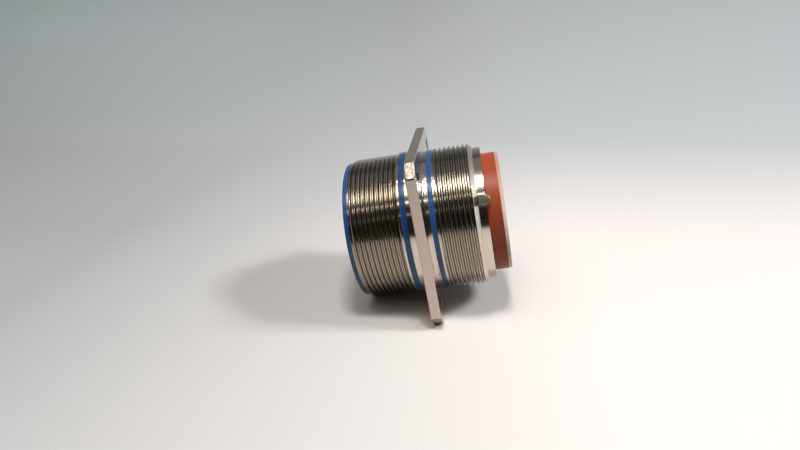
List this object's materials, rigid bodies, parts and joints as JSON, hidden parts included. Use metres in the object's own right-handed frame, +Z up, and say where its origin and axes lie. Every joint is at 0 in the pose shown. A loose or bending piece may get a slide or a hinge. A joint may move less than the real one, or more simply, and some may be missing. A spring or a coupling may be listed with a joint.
{
  "type": "circular connector receptacle",
  "caption": "Square-flange panel receptacle with threaded mating and accessory barrels, socket contacts in a round insert and a silicone wire grommet.",
  "frame": {"origin": "on the connector's axis, in the plane of the flange's rear face, which seats on the panel", "axes": "+X along the axis towards the wire end, the mating end towards -X, +Z up towards the main keyway, flange sides along Y and Z"},
  "size_m": [0.0462, 0.0508, 0.0508],
  "materials": {
    "nickel_plate": "turned aluminium with bright nickel plate",
    "blue_paint": "glossy blue band paint",
    "insert_plastic": "moulded hard insulator",
    "clip_metal": "copper alloy spring",
    "hood_steel": "thin stainless sleeve",
    "ring_steel": "flat spring steel",
    "silicone": "soft orange-red silicone, satin",
    "contact_gold": "gold plated copper alloy"
  },
  "bodies": {
    "root": {"shell": "nickel_plate", "lip_band": "blue_paint", "coupling_band": "blue_paint", "accessory_band": "blue_paint", "front_insert": "insert_plastic", "retention_disc": "insert_plastic", "retention_clips": "clip_metal", "socket_hoods": "hood_steel", "insert_ring": "ring_steel", "grommet": "silicone", "contact_01": "contact_gold", "contact_02": "contact_gold", "contact_03": "contact_gold", "contact_04": "contact_gold", "contact_05": "contact_gold", "contact_06": "contact_gold", "contact_07": "contact_gold", "contact_08": "contact_gold", "contact_09": "contact_gold", "contact_10": "contact_gold", "contact_11": "contact_gold", "contact_12": "contact_gold", "contact_13": "contact_gold", "contact_14": "contact_gold", "contact_15": "contact_gold", "contact_16": "contact_gold", "contact_17": "contact_gold", "contact_18": "contact_gold", "contact_19": "contact_gold", "contact_20": "contact_gold", "contact_21": "contact_gold", "contact_22": "contact_gold", "contact_23": "contact_gold", "contact_24": "contact_gold", "contact_25": "contact_gold", "contact_26": "contact_gold", "contact_27": "contact_gold", "contact_28": "contact_gold", "contact_29": "contact_gold", "contact_30": "contact_gold", "contact_31": "contact_gold", "contact_32": "contact_gold", "contact_33": "contact_gold", "contact_34": "contact_gold", "contact_35": "contact_gold", "contact_36": "contact_gold", "contact_37": "contact_gold"}
  },
  "joints": []
}
